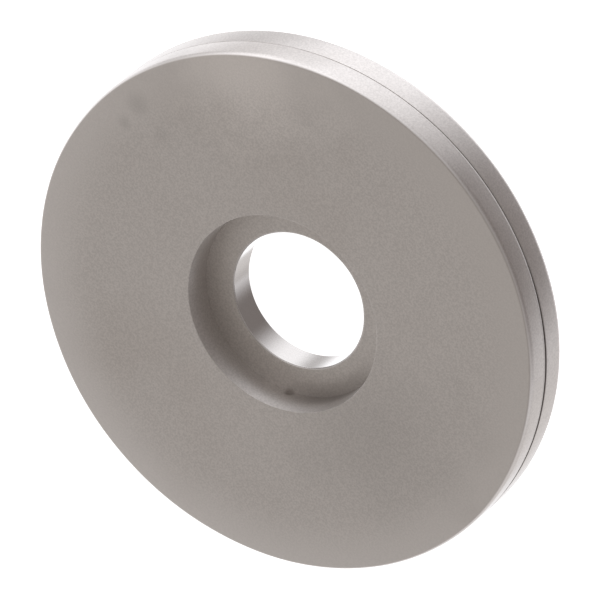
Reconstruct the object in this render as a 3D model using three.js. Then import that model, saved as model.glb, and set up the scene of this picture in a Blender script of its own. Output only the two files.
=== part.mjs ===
// Flat washer with a recessed seat, built up from two flat steel rings.
//
// The washer lies flat: +Z is its axis and points out of the recessed side, and the origin is at
// the centre of its rear face. The face ring lies on the backing washer. The larger hole of the
// face ring forms the wall of the recess, and the top of the backing washer is its floor.
// All sizes are in millimetres.

import { Group, LatheGeometry, Mesh, MeshStandardMaterial, Path } from 'three';

// Driving dimensions
const OUTER_DIAMETER = 32;
const THICKNESS = 3.7;
const BORE_DIAMETER = 8.4;
const RECESS_DIAMETER = 12;
const RECESS_DEPTH = 1.85;

// Edges, each rounded to a quarter of an ellipse: how far it reaches along the face and up the side.
// The seam lies between two of them, and the face ring's is the softer one.
const OUTER_EDGE = { width: 0.15, height: 0.35 };
const FACE_RING_SEAM_EDGE = { width: 0.05, height: 0.2 };
const BACKING_SEAM_EDGE = { width: 0.05, height: 0.06 };
const RECESS_FOOT = { width: 0.02, height: 0.02 };
const BORE_EDGE = { width: 0.12, height: 0.12 };

// The mouth of the recess keeps a crisp edge, and its wall flares out to it on a parabola.
const MOUTH_FLARE = { width: 0.12, height: 1.2 };

// The floor of the recess is a face of its own, which ends this far short of the recess wall.
const SEAT_MARGIN = 0.1;

// Fineness of the facets
const SEGMENTS_AROUND = 96;
const CURVE_DIVISIONS = 2;

// The face ring is as thick as the recess is deep, and the backing washer makes up the rest.
const FACE_RING_THICKNESS = RECESS_DEPTH;
const BACKING_THICKNESS = THICKNESS - FACE_RING_THICKNESS;

const faceRingSteel = new MeshStandardMaterial({ color: 0x9a938d, metalness: 0.9, roughness: 0.5 });
const backingSteel = new MeshStandardMaterial({ color: 0xa39d98, metalness: 0.9, roughness: 0.4 });

// A flat ring standing on z = 0, with rounded edges, or with a flare in place of the inner top edge.
// A seat radius splits its top into an inner face and an outer one.
function flatRing({ innerRadius, outerRadius, thickness, edges, flare, seatRadius }) {
  const section = new Path();
  const quarter = Math.PI / 2;
  const roundCorner = (cornerRadius, inwards, cornerHeight, upwards, edge, firstAngle) => {
    section.absellipse(
      cornerRadius + inwards * edge.width,
      cornerHeight + upwards * edge.height,
      edge.width,
      edge.height,
      firstAngle,
      firstAngle + quarter,
    );
  };
  roundCorner(innerRadius, 1, 0, 1, edges.innerBottom, 2 * quarter);
  roundCorner(outerRadius, -1, 0, 1, edges.outerBottom, 3 * quarter);
  roundCorner(outerRadius, -1, thickness, -1, edges.outerTop, 0);
  if (seatRadius) {
    section.lineTo(seatRadius, thickness);
  }
  if (flare) {
    section.lineTo(innerRadius + flare.width, thickness);
    section.quadraticCurveTo(
      innerRadius,
      thickness - flare.height / 2,
      innerRadius,
      thickness - flare.height,
    );
  } else {
    roundCorner(innerRadius, 1, thickness, -1, edges.innerTop, quarter);
  }
  section.closePath();

  const geometry = new LatheGeometry(section.getPoints(CURVE_DIVISIONS), SEGMENTS_AROUND);
  geometry.rotateX(quarter);
  return geometry;
}

function makeBackingWasher() {
  const geometry = flatRing({
    innerRadius: BORE_DIAMETER / 2,
    outerRadius: OUTER_DIAMETER / 2,
    thickness: BACKING_THICKNESS,
    edges: {
      innerBottom: BORE_EDGE,
      outerBottom: OUTER_EDGE,
      outerTop: BACKING_SEAM_EDGE,
      innerTop: BORE_EDGE,
    },
    seatRadius: RECESS_DIAMETER / 2 - SEAT_MARGIN,
  });
  const mesh = new Mesh(geometry, backingSteel);
  mesh.name = 'backing_washer';
  return mesh;
}

function makeFaceRing() {
  const geometry = flatRing({
    innerRadius: RECESS_DIAMETER / 2,
    outerRadius: OUTER_DIAMETER / 2,
    thickness: FACE_RING_THICKNESS,
    edges: {
      innerBottom: RECESS_FOOT,
      outerBottom: FACE_RING_SEAM_EDGE,
      outerTop: OUTER_EDGE,
    },
    flare: MOUTH_FLARE,
  });
  const mesh = new Mesh(geometry, faceRingSteel);
  mesh.name = 'face_ring';
  mesh.position.z = BACKING_THICKNESS;
  return mesh;
}

const washer = new Group();
washer.name = 'flat_washer';
washer.add(makeBackingWasher());
washer.add(makeFaceRing());

export default washer;
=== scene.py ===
"""Flat washer: a satin steel face ring on a backing washer, lying on a pale floor, recessed side up."""

import math

import bpy
import numpy as np
from mathutils import Matrix, Vector


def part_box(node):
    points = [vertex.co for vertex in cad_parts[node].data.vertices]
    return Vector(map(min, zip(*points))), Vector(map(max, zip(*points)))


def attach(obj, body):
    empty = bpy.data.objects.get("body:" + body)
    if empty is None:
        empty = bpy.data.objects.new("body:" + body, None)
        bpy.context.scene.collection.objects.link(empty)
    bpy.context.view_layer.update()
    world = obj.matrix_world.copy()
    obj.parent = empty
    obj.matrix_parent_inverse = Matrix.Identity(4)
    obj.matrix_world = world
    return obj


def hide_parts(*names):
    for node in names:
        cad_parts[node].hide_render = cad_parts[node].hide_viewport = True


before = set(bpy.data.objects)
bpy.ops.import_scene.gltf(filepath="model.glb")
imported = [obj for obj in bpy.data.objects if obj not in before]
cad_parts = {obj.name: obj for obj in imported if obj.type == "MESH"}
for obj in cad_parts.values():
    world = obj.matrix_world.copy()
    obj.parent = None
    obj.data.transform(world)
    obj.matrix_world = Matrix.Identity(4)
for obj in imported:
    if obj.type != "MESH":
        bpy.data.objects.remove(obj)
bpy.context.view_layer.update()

MM = 0.001


# ---------------------------------------------------------------- camera

VIEW_TILT = math.radians(39.51)  # between the washer's axis and the line of sight
VIEW_ROLL = math.radians(-129.55)
VIEW_DISTANCE = 761.0 * MM
LENS_MM = 807.8
SENSOR_MM = 36
NEAREST = 10 * MM
FARTHEST = 10.0
AIM_RIGHT = 1.01 * MM  # of the centre of the front face, as the camera sees it
AIM_UP = 0.80 * MM


def make_camera(target):
    data = bpy.data.cameras.new("camera")
    data.lens = LENS_MM
    data.sensor_width = SENSOR_MM
    data.clip_start = NEAREST
    data.clip_end = FARTHEST
    camera = bpy.data.objects.new("camera", data)
    bpy.context.scene.collection.objects.link(camera)
    turn = Matrix.Rotation(VIEW_TILT, 3, "X") @ Matrix.Rotation(VIEW_ROLL, 3, "Z")
    place = target + turn @ Vector((AIM_RIGHT, AIM_UP, VIEW_DISTANCE))
    camera.matrix_world = Matrix.Translation(place) @ turn.to_4x4()
    bpy.context.scene.camera = camera


# ---------------------------------------------------------------- sizes, from the frame

def inner_radius(node):
    """The radius of the hole in a CAD ring."""
    return min(math.hypot(vertex.co.x, vertex.co.y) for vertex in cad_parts[node].data.vertices)


BACKING_LOW, BACKING_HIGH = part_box("backing_washer")
RING_LOW, RING_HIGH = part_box("face_ring")
OUTER_RADIUS = RING_HIGH.x
BORE_RADIUS = inner_radius("backing_washer")
RECESS_RADIUS = inner_radius("face_ring")
FRONT = RING_HIGH.z
SEAM = BACKING_HIGH.z
REAR = BACKING_LOW.z

# Edges, each a quarter of an ellipse: its width along the face and its height up the side.
# Those that the CAD draws coarser than they look are finer here.
OUTER_EDGE = np.array((0.15, 0.35)) * MM
FACE_RING_SEAM_EDGE = np.array((0.05, 0.2)) * MM
BACKING_SEAM_EDGE = np.array((0.02, 0.02)) * MM
RECESS_LIP = np.array((0.02, 0.02)) * MM
RECESS_FOOT = np.array((0.01, 0.01)) * MM
BORE_EDGE = np.array((0.12, 0.12)) * MM

# The wall of the recess flares out towards its mouth
FLARE_WIDTH = 0.12 * MM
FLARE_HEIGHT = 1.2 * MM

make_camera(Vector((0, 0, FRONT)))


# ---------------------------------------------------------------- mesh of a blanked and tumbled ring

STEPS_AROUND = 720
INNER_EDGE_STEPS = 8
OUTER_EDGE_STEPS = 10
FACE_STEPS = 28
RIM_STEPS = 16
HOLE_STEPS = 24
EDGE_WANDER = 0.12  # share by which the size of an edge wanders on its way around
RIM_CROWN = 0.02 * MM  # how much higher a rim stands at its middle than at its edges
ROLL_OFF_START = 12.6 * MM  # from this radius outwards a free face falls away a little
ROLL_OFF_DROP = 0.10 * MM
SEAM_OPEN_HEADING = math.radians(-150)  # where the seam stands widest open
SEAM_OPENING = 0.6  # share by which its edges are larger there
SEAM_SHUT_HEADING = math.radians(-22)  # where it is shut tightest
SEAM_SHUTTING = 0.6  # share by which its edges are smaller there

# The small pit in the wall of the recess, just above the floor
PIT_HEADING = math.radians(128)
PIT_HEIGHT = 0.12 * MM  # above the floor of the recess
PIT_DEPTH = 0.07 * MM
PIT_REACH = 0.2 * MM
PIT_WAY = Vector((math.cos(PIT_HEADING), math.sin(PIT_HEADING), 0))
PIT_PLACE = RECESS_RADIUS * PIT_WAY + Vector((0, 0, SEAM + PIT_HEIGHT))


def corner(place, inwards, upwards, edge, first_quarter, steps):
    """A quarter of an ellipse in a sharp corner's place, with its last point left out."""
    centre = place + edge * (inwards, upwards)
    angles = [(first_quarter + i / steps) * math.pi / 2 for i in range(steps)]
    return [centre + edge * (math.cos(angle), math.sin(angle)) for angle in angles]


def straight(start, end, steps):
    """Points from start up to end, which is left out, closer together near both."""
    shares = [(1 - math.cos(math.pi * i / steps)) / 2 for i in range(steps)]
    return [np.array(start) + (np.array(end) - start) * share for share in shares]


def ring_section(inner, outer, low, high, edges):
    """The closed outline, as radius and height, of a flat ring with four rounded edges."""
    inner_low, outer_low, outer_high, inner_high = edges
    outline = corner((inner, low), 1, 1, inner_low, 2, INNER_EDGE_STEPS)
    outline += straight((inner + inner_low[0], low), (outer - outer_low[0], low), FACE_STEPS)
    outline += corner((outer, low), -1, 1, outer_low, 3, OUTER_EDGE_STEPS)
    outline += straight((outer, low + outer_low[1]), (outer, high - outer_high[1]), RIM_STEPS)
    outline += corner((outer, high), -1, -1, outer_high, 0, OUTER_EDGE_STEPS)
    outline += straight((outer - outer_high[0], high), (inner + inner_high[0], high), FACE_STEPS)
    outline += corner((inner, high), 1, -1, inner_high, 1, INNER_EDGE_STEPS)
    outline += straight((inner, high - inner_high[1]), (inner, low + inner_low[1]), HOLE_STEPS)
    return np.array(outline)


def wander(heading, phase):
    """A slow wave between -1 and 1 that closes on itself after one turn."""
    slow = math.sin(3 * heading + phase)
    middling = math.sin(7 * heading + 2.3 * phase)
    quick = math.sin(13 * heading + 4.1 * phase)
    return (slow + middling + quick) / 3


def seam_opening(heading):
    """The size of the edges in the seam at a heading, as a share of their usual size."""
    open_share = max(0, math.cos(heading - SEAM_OPEN_HEADING)) ** 3
    shut_share = max(0, math.cos(heading - SEAM_SHUT_HEADING)) ** 3
    return 1 + SEAM_OPENING * open_share - SEAM_SHUTTING * shut_share


def crown_rim(points, inner, outer, low, high):
    """Draws the rim in towards its edges, so that it is slightly barrelled."""
    outwards = (points[:, 0] - inner) / (outer - inner)
    off_middle = 2 * (points[:, 1] - low) / (high - low) - 1
    points[:, 0] -= RIM_CROWN * off_middle ** 2 * outwards


def flare_mouth(points, inner, outer, high):
    """Widens the hole towards its upper end on a parabola."""
    inwards = (outer - points[:, 0]) / (outer - inner)
    share = np.clip(1 - (high - points[:, 1]) / FLARE_HEIGHT, 0, 1)
    points[:, 0] += FLARE_WIDTH * share ** 2 * inwards


def roll_off(points, free_height, held_height):
    """Lets a ring's free face fall away towards the rim, and leaves its face in the seam flat."""
    outwards = np.clip((points[:, 0] - ROLL_OFF_START) / (OUTER_RADIUS - ROLL_OFF_START), 0, 1)
    freedom = (points[:, 1] - held_height) / (free_height - held_height)
    points[:, 1] -= math.copysign(ROLL_OFF_DROP, free_height - held_height) * outwards ** 2 * freedom


def make_ring(name, section_at):
    """A ring object. section_at gives its outline at a heading."""
    sections = []
    for i in range(STEPS_AROUND):
        heading = 2 * math.pi * i / STEPS_AROUND
        radius, height = section_at(heading).T
        x = radius * math.cos(heading)
        y = radius * math.sin(heading)
        sections.append(np.column_stack((x, y, height)))
    count = len(sections[0])
    faces = []
    for i in range(STEPS_AROUND):
        here = i * count
        there = ((i + 1) % STEPS_AROUND) * count
        for j in range(count):
            k = (j + 1) % count
            faces.append((here + j, there + j, there + k, here + k))
    mesh = bpy.data.meshes.new(name)
    mesh.from_pydata(np.concatenate(sections).tolist(), [], faces)
    mesh.shade_smooth()
    mesh.update()
    piece = bpy.data.objects.new(name, mesh)
    bpy.context.scene.collection.objects.link(piece)
    return piece


def dent(piece, centre, outwards, depth, reach):
    """Presses a small round pit into a piece's surface around a point."""
    for vertex in piece.data.vertices:
        distance = (vertex.co - centre).length
        if distance < 3 * reach:
            vertex.co += outwards * depth * math.exp(-((distance / reach) ** 2))
    piece.data.update()


# ---------------------------------------------------------------- material nodes

def add(tree, kind, **settings):
    node = tree.nodes.new(kind)
    for name, value in settings.items():
        setattr(node, name, value)
    return node


def plug(tree, socket, value):
    """Joins a value to a socket: a link from another socket, or a plain number or colour."""
    if isinstance(value, bpy.types.NodeSocket):
        tree.links.new(value, socket)
    else:
        socket.default_value = value


def maths(tree, operation, *values):
    node = add(tree, "ShaderNodeMath", operation=operation)
    for socket, value in zip(node.inputs, values):
        plug(tree, socket, value)
    return node.outputs[0]


def vector_maths(tree, operation, first, second, output="Vector"):
    node = add(tree, "ShaderNodeVectorMath", operation=operation)
    plug(tree, node.inputs[0], first)
    plug(tree, node.inputs[1], second)
    return node.outputs[output]


def vector(tree, x, y, z):
    node = add(tree, "ShaderNodeCombineXYZ")
    for socket, value in zip(node.inputs, (x, y, z)):
        plug(tree, socket, value)
    return node.outputs[0]


def ramp(tree, value, start, end, low=0.0, high=1.0):
    """A smooth step from low to high as value goes from start to end."""
    node = add(tree, "ShaderNodeMapRange", interpolation_type="SMOOTHSTEP")
    for socket, number in zip(node.inputs, (value, start, end, low, high)):
        plug(tree, socket, number)
    return node.outputs[0]


def blend(tree, factor, first, second, blend_type="MIX"):
    """A mix of two colours."""
    node = add(tree, "ShaderNodeMix", data_type="RGBA", blend_type=blend_type)
    plug(tree, node.inputs["Factor"], factor)
    plug(tree, node.inputs["A"], first)
    plug(tree, node.inputs["B"], second)
    return node.outputs["Result"]


def mix_number(tree, factor, first, second):
    node = add(tree, "ShaderNodeMix", data_type="FLOAT")
    plug(tree, node.inputs["Factor"], factor)
    plug(tree, node.inputs["A"], first)
    plug(tree, node.inputs["B"], second)
    return node.outputs["Result"]


def noise(tree, place, scale, detail=2.0):
    node = add(tree, "ShaderNodeTexNoise")
    plug(tree, node.inputs["Vector"], place)
    plug(tree, node.inputs["Scale"], scale)
    plug(tree, node.inputs["Detail"], detail)
    return node.outputs["Fac"]


# ---------------------------------------------------------------- steel

FACE_RING_STEEL = (0.60, 0.57, 0.55, 1)
BACKING_STEEL = (0.63, 0.60, 0.58, 1)
STAINED_STEEL = (0.50, 0.46, 0.43, 1)
# Lighter steel of the rubbed edges, which is wear, and of the painted sheen on the outer zone of the
# front face
RUBBED_AND_SHEEN_STEEL = (0.68, 0.65, 0.63, 1)
BORED_STEEL = (0.55, 0.53, 0.515, 1)
# Painted shade along the seam, over its dark joint, and in the recess's corner
DIRT_AND_SHADE = (0.18, 0.16, 0.15, 1)
PIT_DIRT = (0.22, 0.19, 0.17, 1)

SATIN = (0.43, 0.50)  # least and greatest roughness of the faces
TURNED = (0.29, 0.35)  # of the rim
BORED = (0.13, 0.18)  # and of the bore
ROUGHNESS_CLOUDS = (0.25, 0.75)  # noise levels between which it goes from least to greatest
BORED_SHARE = 0.8  # of the bore's own colour in the bore

# Noise, in cells per metre
STAIN_SCALE = 90
CLOUD_SCALE = 260
GRAIN_SCALE = 9000
BORE_LINE_SCALE = 12000

# How strongly stains and clouds darken the steel, and the noise levels between which they set in
STAIN_SHARE = 0.30
STAIN_LEVELS = (0.56, 0.74)
CLOUD_SHARE = 0.12
CLOUD_LEVELS = (0.3, 0.7)
GRAIN_LEVELS = (0.3, 0.7)
GRAIN_SHADES = (0.92, 1.08)
BUMP_STRENGTH = 0.3
BUMP_HEIGHT = 0.015 * MM

# The rubbed outer edge: how far it reaches up the rim and in from it, and how much of it is bright
RUB_HEIGHT = (0.25 * MM, 0.05 * MM)
RUB_INSET = (0.35 * MM, 0.1 * MM)
RUB_LEVELS = (0.35, 0.6)
RUB_SHARES = (0.1, 0.5)

# The painted sheen that lightens the outer zone of the front face, from this radius out to the rim, and
# where the face ends
FACE_SHEEN_START = 12 * MM
FACE_SHEEN_SHARE = 0.7
FACE_EDGE = (0.35 * MM, 0.12 * MM)  # below the front

# How far the seam's darkening reaches on each ring, a dark joint with painted shade in the groove, and
# how close to the rim it lies
FACE_RING_SEAM_DARK_REACH = 0.4 * MM
BACKING_SEAM_DARK_REACH = 0.14 * MM
SEAM_DARK_INSET = (0.6 * MM, 0.2 * MM)
# Painted shade in the recess's corner: how far it reaches from the corner
RECESS_SHADE_REACH = (1.3 * MM, 0.3 * MM)
PIT_DIRT_REACH = 2.2 * PIT_REACH
PIT_DIRT_SHARE = 0.5

# Where a finish gives way to the next, as distances from the rim and from the wall of the bore
RIM_INSET = (0.15 * MM, 0.04 * MM)
BORE_INSET = (0.12 * MM, 0.02 * MM)

# Stretches of the seam and of the recess's corner that are darkened, the seam as a dark joint with
# painted shade and the corner with painted shade: heading and half width in degrees, and share
SEAM_DARK_STRETCHES = (
    (-148, 43, 0.95),
    (-100, 32, 0.25),
)
# Painted shade in the recess's corner
RECESS_SHADE_STRETCHES = (
    (160, 37, 0.30),
)

# Marks on the front face: x, y and reach in millimetres, and the tint in their middle
MARKS = (
    (14.3, -1.6, 0.9, 0.88),
    (14.0, 0.0, 0.7, 0.88),
    (12.1, -1.5, 0.9, 0.93),
    (-8.5, 0.5, 8.0, 0.88),
    (11.6, -8.9, 6.0, 1.20),
)
RAGGED_LEVELS = (0.2, 0.8)  # noise levels between which their outlines shrink and grow
RAGGED_FACTORS = (0.6, 1.4)


class Steel:
    """The nodes that every steel surface of the washer shares."""

    def __init__(self, name):
        self.material = bpy.data.materials.new(name)
        self.material.use_nodes = True
        self.tree = self.material.node_tree
        self.shader = self.tree.nodes["Principled BSDF"]
        self.shader.inputs["Metallic"].default_value = 1
        self.place = add(self.tree, "ShaderNodeTexCoord").outputs["Object"]
        parts = add(self.tree, "ShaderNodeSeparateXYZ")
        plug(self.tree, parts.inputs[0], self.place)
        self.x, self.y, self.height = parts.outputs
        self.flat_place = vector(self.tree, self.x, self.y, 0.0)
        self.radius = vector_maths(self.tree, "LENGTH", self.flat_place, (0, 0, 0), "Value")
        self.clouds = noise(self.tree, self.place, CLOUD_SCALE, detail=3)
        self.grain = noise(self.tree, self.place, GRAIN_SCALE)

    def cloudy_colour(self, bare):
        """The colour of the bare steel, with faint clouds, a few stains and a fine grain."""
        tree = self.tree
        stains = ramp(tree, noise(tree, self.place, STAIN_SCALE), *STAIN_LEVELS, 0.0, STAIN_SHARE)
        colour = blend(tree, stains, bare, STAINED_STEEL)
        clouds = ramp(tree, self.clouds, *CLOUD_LEVELS, 0.0, CLOUD_SHARE)
        colour = blend(tree, clouds, colour, STAINED_STEEL)
        shade = ramp(tree, self.grain, *GRAIN_LEVELS, *GRAIN_SHADES)
        return blend(tree, 1.0, colour, vector(tree, shade, shade, shade), "MULTIPLY")

    def near_rim(self, insets):
        """A share that rises from 0 at the first inset from the rim to 1 at the second."""
        start, end = insets
        return ramp(self.tree, self.radius, OUTER_RADIUS - start, OUTER_RADIUS - end)

    def rub(self, colour, edge_height):
        """Lightens the outer edge at a height, where the washer rubs against others."""
        tree = self.tree
        off_edge = maths(tree, "ABSOLUTE", maths(tree, "SUBTRACT", self.height, edge_height))
        near_edge = ramp(tree, off_edge, *RUB_HEIGHT)
        near_rim = self.near_rim(RUB_INSET)
        patchy = ramp(tree, self.clouds, *RUB_LEVELS, *RUB_SHARES)
        share = maths(tree, "MULTIPLY", maths(tree, "MULTIPLY", near_edge, near_rim), patchy)
        return blend(tree, share, colour, RUBBED_AND_SHEEN_STEEL)

    def darkening(self, colour, near, stains):
        """Darkens what is near a corner or a seam along the listed stretches: painted shade, and at the
        seam also its dark joint.
        """
        tree = self.tree
        outwards = vector_maths(tree, "NORMALIZE", self.flat_place, (0, 0, 0))
        for heading, half_width, strength in stains:
            way = (math.cos(math.radians(heading)), math.sin(math.radians(heading)), 0)
            towards = vector_maths(tree, "DOT_PRODUCT", outwards, way, "Value")
            in_stretch = ramp(tree, towards, math.cos(math.radians(half_width)), 1.0, 0.0, strength)
            colour = blend(tree, maths(tree, "MULTIPLY", near, in_stretch), colour, DIRT_AND_SHADE)
        return colour

    def seam_shade(self, colour, reach):
        """Darkens the rim up to a reach from the seam along the listed stretches: the seam's dark joint
        with painted shade in the groove.
        """
        tree = self.tree
        off_seam = maths(tree, "ABSOLUTE", maths(tree, "SUBTRACT", self.height, SEAM))
        near_seam = ramp(tree, off_seam, reach, 0.0)
        near = maths(tree, "MULTIPLY", near_seam, self.near_rim(SEAM_DARK_INSET))
        return self.darkening(colour, near, SEAM_DARK_STRETCHES)

    def recess_shade(self, colour):
        """Painted shade: darkens the corner between the floor and the wall of the recess, along the
        listed stretches.
        """
        tree = self.tree
        across = maths(tree, "SUBTRACT", self.radius, RECESS_RADIUS)
        above = maths(tree, "SUBTRACT", self.height, SEAM)
        off_corner = vector_maths(tree, "LENGTH", vector(tree, across, above, 0.0), (0, 0, 0), "Value")
        return self.darkening(colour, ramp(tree, off_corner, *RECESS_SHADE_REACH), RECESS_SHADE_STRETCHES)

    def pit_shade(self, colour):
        """Darkens the pit and what lies close around it."""
        tree = self.tree
        distance = vector_maths(tree, "DISTANCE", self.place, tuple(PIT_PLACE), "Value")
        darkening = ramp(tree, distance, PIT_DIRT_REACH, 0.0, 0.0, PIT_DIRT_SHARE)
        return blend(tree, darkening, colour, PIT_DIRT)

    def faces_and_rim(self):
        """Roughness: satin on the faces, smoother on the rim."""
        tree = self.tree
        satin = ramp(tree, self.clouds, *ROUGHNESS_CLOUDS, *SATIN)
        turned = ramp(tree, self.clouds, *ROUGHNESS_CLOUDS, *TURNED)
        return mix_number(tree, self.near_rim(RIM_INSET), satin, turned)

    def finish(self, colour, roughness, bump_height):
        tree = self.tree
        bump = add(tree, "ShaderNodeBump")
        bump.inputs["Strength"].default_value = BUMP_STRENGTH
        bump.inputs["Distance"].default_value = BUMP_HEIGHT
        plug(tree, bump.inputs["Height"], bump_height)
        plug(tree, self.shader.inputs["Normal"], bump.outputs[0])
        plug(tree, self.shader.inputs["Base Color"], colour)
        plug(tree, self.shader.inputs["Roughness"], roughness)
        return self.material


def face_ring_steel():
    """Satin steel with smudges and a painted sheen on the outer zone of its face, dirt in its pit,
    painted shade in the recess's corner, and a dark seam with painted shade.
    """
    steel = Steel("face_ring_steel")
    tree = steel.tree
    colour = steel.cloudy_colour(FACE_RING_STEEL)
    # Painted sheen: lightens the outer zone of the front face towards the rim
    outwards = ramp(tree, steel.radius, FACE_SHEEN_START, OUTER_RADIUS, 0.0, FACE_SHEEN_SHARE)
    on_face = ramp(tree, steel.height, FRONT - FACE_EDGE[0], FRONT - FACE_EDGE[1])
    colour = blend(tree, maths(tree, "MULTIPLY", outwards, on_face), colour, RUBBED_AND_SHEEN_STEEL)
    for x, y, reach, tint in MARKS:
        distance = vector_maths(tree, "DISTANCE", steel.flat_place, (x * MM, y * MM, 0), "Value")
        raggedness = ramp(tree, steel.clouds, *RAGGED_LEVELS, *RAGGED_FACTORS)
        share = ramp(tree, maths(tree, "MULTIPLY", distance, raggedness), reach * MM, 0.0)
        colour = blend(tree, share, colour, (tint, tint, tint, 1), "MULTIPLY")
    colour = steel.rub(colour, FRONT)
    colour = steel.seam_shade(colour, FACE_RING_SEAM_DARK_REACH)
    colour = steel.recess_shade(colour)
    colour = steel.pit_shade(colour)
    return steel.finish(colour, steel.faces_and_rim(), steel.grain)


def backing_steel():
    """Satin steel with a smoother bore, which shows fine lines around it."""
    steel = Steel("backing_steel")
    tree = steel.tree
    colour = steel.cloudy_colour(BACKING_STEEL)
    colour = steel.rub(colour, REAR)
    colour = steel.seam_shade(colour, BACKING_SEAM_DARK_REACH)
    colour = steel.recess_shade(colour)
    colour = steel.pit_shade(colour)
    in_bore = ramp(tree, steel.radius, BORE_RADIUS + BORE_INSET[0], BORE_RADIUS + BORE_INSET[1])
    colour = blend(tree, maths(tree, "MULTIPLY", in_bore, BORED_SHARE), colour, BORED_STEEL)
    bored = ramp(tree, steel.clouds, *ROUGHNESS_CLOUDS, *BORED)
    roughness = mix_number(tree, in_bore, steel.faces_and_rim(), bored)
    lines = noise(tree, vector(tree, 0.0, 0.0, steel.height), BORE_LINE_SCALE)
    bump_height = mix_number(tree, in_bore, steel.grain, lines)
    return steel.finish(colour, roughness, bump_height)


# ---------------------------------------------------------------- the two rings

def backing_section(heading):
    bore_edge = BORE_EDGE * (1 + EDGE_WANDER * wander(heading, 1))
    outer_edge = OUTER_EDGE * (1 + EDGE_WANDER * wander(heading, 2))
    seam_edge = BACKING_SEAM_EDGE * seam_opening(heading)
    edges = (bore_edge, outer_edge, seam_edge, bore_edge)
    points = ring_section(BORE_RADIUS, OUTER_RADIUS, REAR, SEAM, edges)
    crown_rim(points, BORE_RADIUS, OUTER_RADIUS, REAR, SEAM)
    roll_off(points, REAR, SEAM)
    return points


def face_ring_section(heading):
    outer_edge = OUTER_EDGE * (1 + EDGE_WANDER * wander(heading, 3))
    seam_edge = FACE_RING_SEAM_EDGE * seam_opening(heading)
    edges = (RECESS_FOOT, seam_edge, outer_edge, RECESS_LIP)
    points = ring_section(RECESS_RADIUS, OUTER_RADIUS, SEAM, FRONT, edges)
    crown_rim(points, RECESS_RADIUS, OUTER_RADIUS, SEAM, FRONT)
    flare_mouth(points, RECESS_RADIUS, OUTER_RADIUS, FRONT)
    roll_off(points, FRONT, SEAM)
    return points


def make_backing_washer():
    piece = make_ring("backing_washer_fine", backing_section)
    piece.data.materials.append(backing_steel())
    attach(piece, "root")
    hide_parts("backing_washer")


def make_face_ring():
    piece = make_ring("face_ring_fine", face_ring_section)
    dent(piece, PIT_PLACE, PIT_WAY, PIT_DEPTH, PIT_REACH)
    piece.data.materials.append(face_ring_steel())
    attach(piece, "root")
    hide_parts("face_ring")


make_backing_washer()
make_face_ring()


# ---------------------------------------------------------------- floor, light and surroundings

FLOOR_SIZE = 3.0
FLOOR_GAP = 0.02 * MM  # below the washer
FLOOR_COLOUR = (0.8, 0.8, 0.8, 1)
FLOOR_ROUGHNESS = 0.9
FLOOR_GLOW = 0.9

# The steel mirrors a light tent: a grey top, brighter on one side, and white walls below with soft
# darker gaps between them. A softbox hangs inside it. Directions are unit vectors, so that a level
# of 1 is straight up and -1 straight down.
TENT_TOP_DIM = (0.305, 0.282, 0.262, 1)
TENT_TOP_BRIGHT = (0.434, 0.402, 0.373, 1)
TENT_TOP_HEADING = math.radians(35)  # of its bright side
TENT_TOP_FADE = (-0.7, 0.7)  # from dim to bright, along the heading of the bright side
TENT_WALL = (1.60, 1.61, 1.66, 1)
TENT_WALL_LEVELS = (0.9, -0.1)  # from top to wall
GAP_FOOT_LEVELS = (-1.0, -0.83)  # the gaps end towards the ground
GAP_HORIZON_LEVELS = (0.15, -0.4)  # and are a little fainter above the horizon
GAP_HORIZON_SHARES = (0.85, 1.0)
# Each gap's heading, the half width of its dark middle and of its faded edge in degrees, and its tint
TENT_GAPS = (
    (-122.5, 21, 85, (0.185, 0.166, 0.156, 1)),
    (154, 20, 30, (0.58, 0.56, 0.54, 1)),
    (15, 1, 35, (0.49, 0.48, 0.47, 1)),
    (94, 4, 60, (0.93, 0.93, 0.92, 1)),
)
SOFTBOX_HEADING = math.radians(-10)
SOFTBOX_ELEVATION = math.radians(48)
SOFTBOX_DISTANCE = 0.5
SOFTBOX_SIZE = 0.5
SOFTBOX_POWER = 0.05


def make_floor():
    """A pale floor that the steel doesn't mirror, and that is clear when seen from below.

    So the steel mirrors the tent's walls all the way down, and views from below show the rear face.
    """
    mesh = bpy.data.meshes.new("floor")
    half = FLOOR_SIZE / 2
    low = REAR - FLOOR_GAP
    corners = [(-half, -half, low), (half, -half, low), (half, half, low), (-half, half, low)]
    mesh.from_pydata(corners, [], [(0, 1, 2, 3)])
    floor = bpy.data.objects.new("floor", mesh)
    bpy.context.scene.collection.objects.link(floor)
    material = bpy.data.materials.new("floor")
    material.use_nodes = True
    tree = material.node_tree
    shader = tree.nodes["Principled BSDF"]
    shader.inputs["Base Color"].default_value = FLOOR_COLOUR
    shader.inputs["Roughness"].default_value = FLOOR_ROUGHNESS
    shader.inputs["Specular IOR Level"].default_value = 0
    shader.inputs["Emission Color"].default_value = (1, 1, 1, 1)
    shader.inputs["Emission Strength"].default_value = FLOOR_GLOW
    two_sided = add(tree, "ShaderNodeMixShader")
    plug(tree, two_sided.inputs[0], add(tree, "ShaderNodeNewGeometry").outputs["Backfacing"])
    plug(tree, two_sided.inputs[1], shader.outputs[0])
    plug(tree, two_sided.inputs[2], add(tree, "ShaderNodeBsdfTransparent").outputs[0])
    plug(tree, tree.nodes["Material Output"].inputs["Surface"], two_sided.outputs[0])
    mesh.materials.append(material)
    floor.visible_glossy = False


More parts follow.
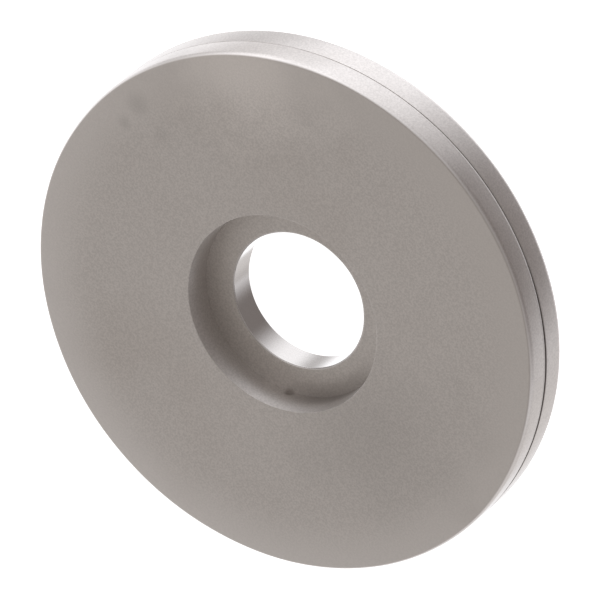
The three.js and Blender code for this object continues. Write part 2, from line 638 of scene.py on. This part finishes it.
def make_tent():
    world = bpy.data.worlds.new("tent")
    world.use_nodes = True
    tree = world.node_tree
    parts = add(tree, "ShaderNodeSeparateXYZ")
    plug(tree, parts.inputs[0], add(tree, "ShaderNodeTexCoord").outputs["Generated"])
    x, y, z = parts.outputs
    heading = vector_maths(tree, "NORMALIZE", vector(tree, x, y, 0.0), (0, 0, 0))
    above_ground = ramp(tree, z, *GAP_FOOT_LEVELS)
    below_horizon = ramp(tree, z, *GAP_HORIZON_LEVELS, *GAP_HORIZON_SHARES)
    in_gap = maths(tree, "MULTIPLY", above_ground, below_horizon)
    walls = TENT_WALL
    for centre, half_dark, half_faded, tint in TENT_GAPS:
        way = (math.cos(math.radians(centre)), math.sin(math.radians(centre)), 0)
        off_way = maths(tree, "ARCCOSINE", vector_maths(tree, "DOT_PRODUCT", heading, way, "Value"))
        share = ramp(tree, off_way, math.radians(half_faded), math.radians(half_dark))
        walls = blend(tree, maths(tree, "MULTIPLY", share, in_gap), walls, tint, "MULTIPLY")
    bright_way = (math.cos(TENT_TOP_HEADING), math.sin(TENT_TOP_HEADING), 0)
    towards = vector_maths(tree, "DOT_PRODUCT", vector(tree, x, y, z), bright_way, "Value")
    top = blend(tree, ramp(tree, towards, *TENT_TOP_FADE), TENT_TOP_DIM, TENT_TOP_BRIGHT)
    background = tree.nodes["Background"]
    on_wall = ramp(tree, z, *TENT_WALL_LEVELS)
    plug(tree, background.inputs["Color"], blend(tree, on_wall, top, walls))
    bpy.context.scene.world = world


def make_softbox():
    light = bpy.data.lights.new("softbox", "AREA")
    light.shape = "SQUARE"
    light.size = SOFTBOX_SIZE
    light.energy = SOFTBOX_POWER
    softbox = bpy.data.objects.new("softbox", light)
    bpy.context.scene.collection.objects.link(softbox)
    level = math.cos(SOFTBOX_ELEVATION)
    way = Vector((
        level * math.cos(SOFTBOX_HEADING),
        level * math.sin(SOFTBOX_HEADING),
        math.sin(SOFTBOX_ELEVATION),
    ))
    softbox.location = SOFTBOX_DISTANCE * way
    softbox.rotation_euler = way.to_track_quat("Z", "Y").to_euler()


make_floor()
make_tent()
make_softbox()
bpy.context.scene.view_settings.view_transform = "Standard"
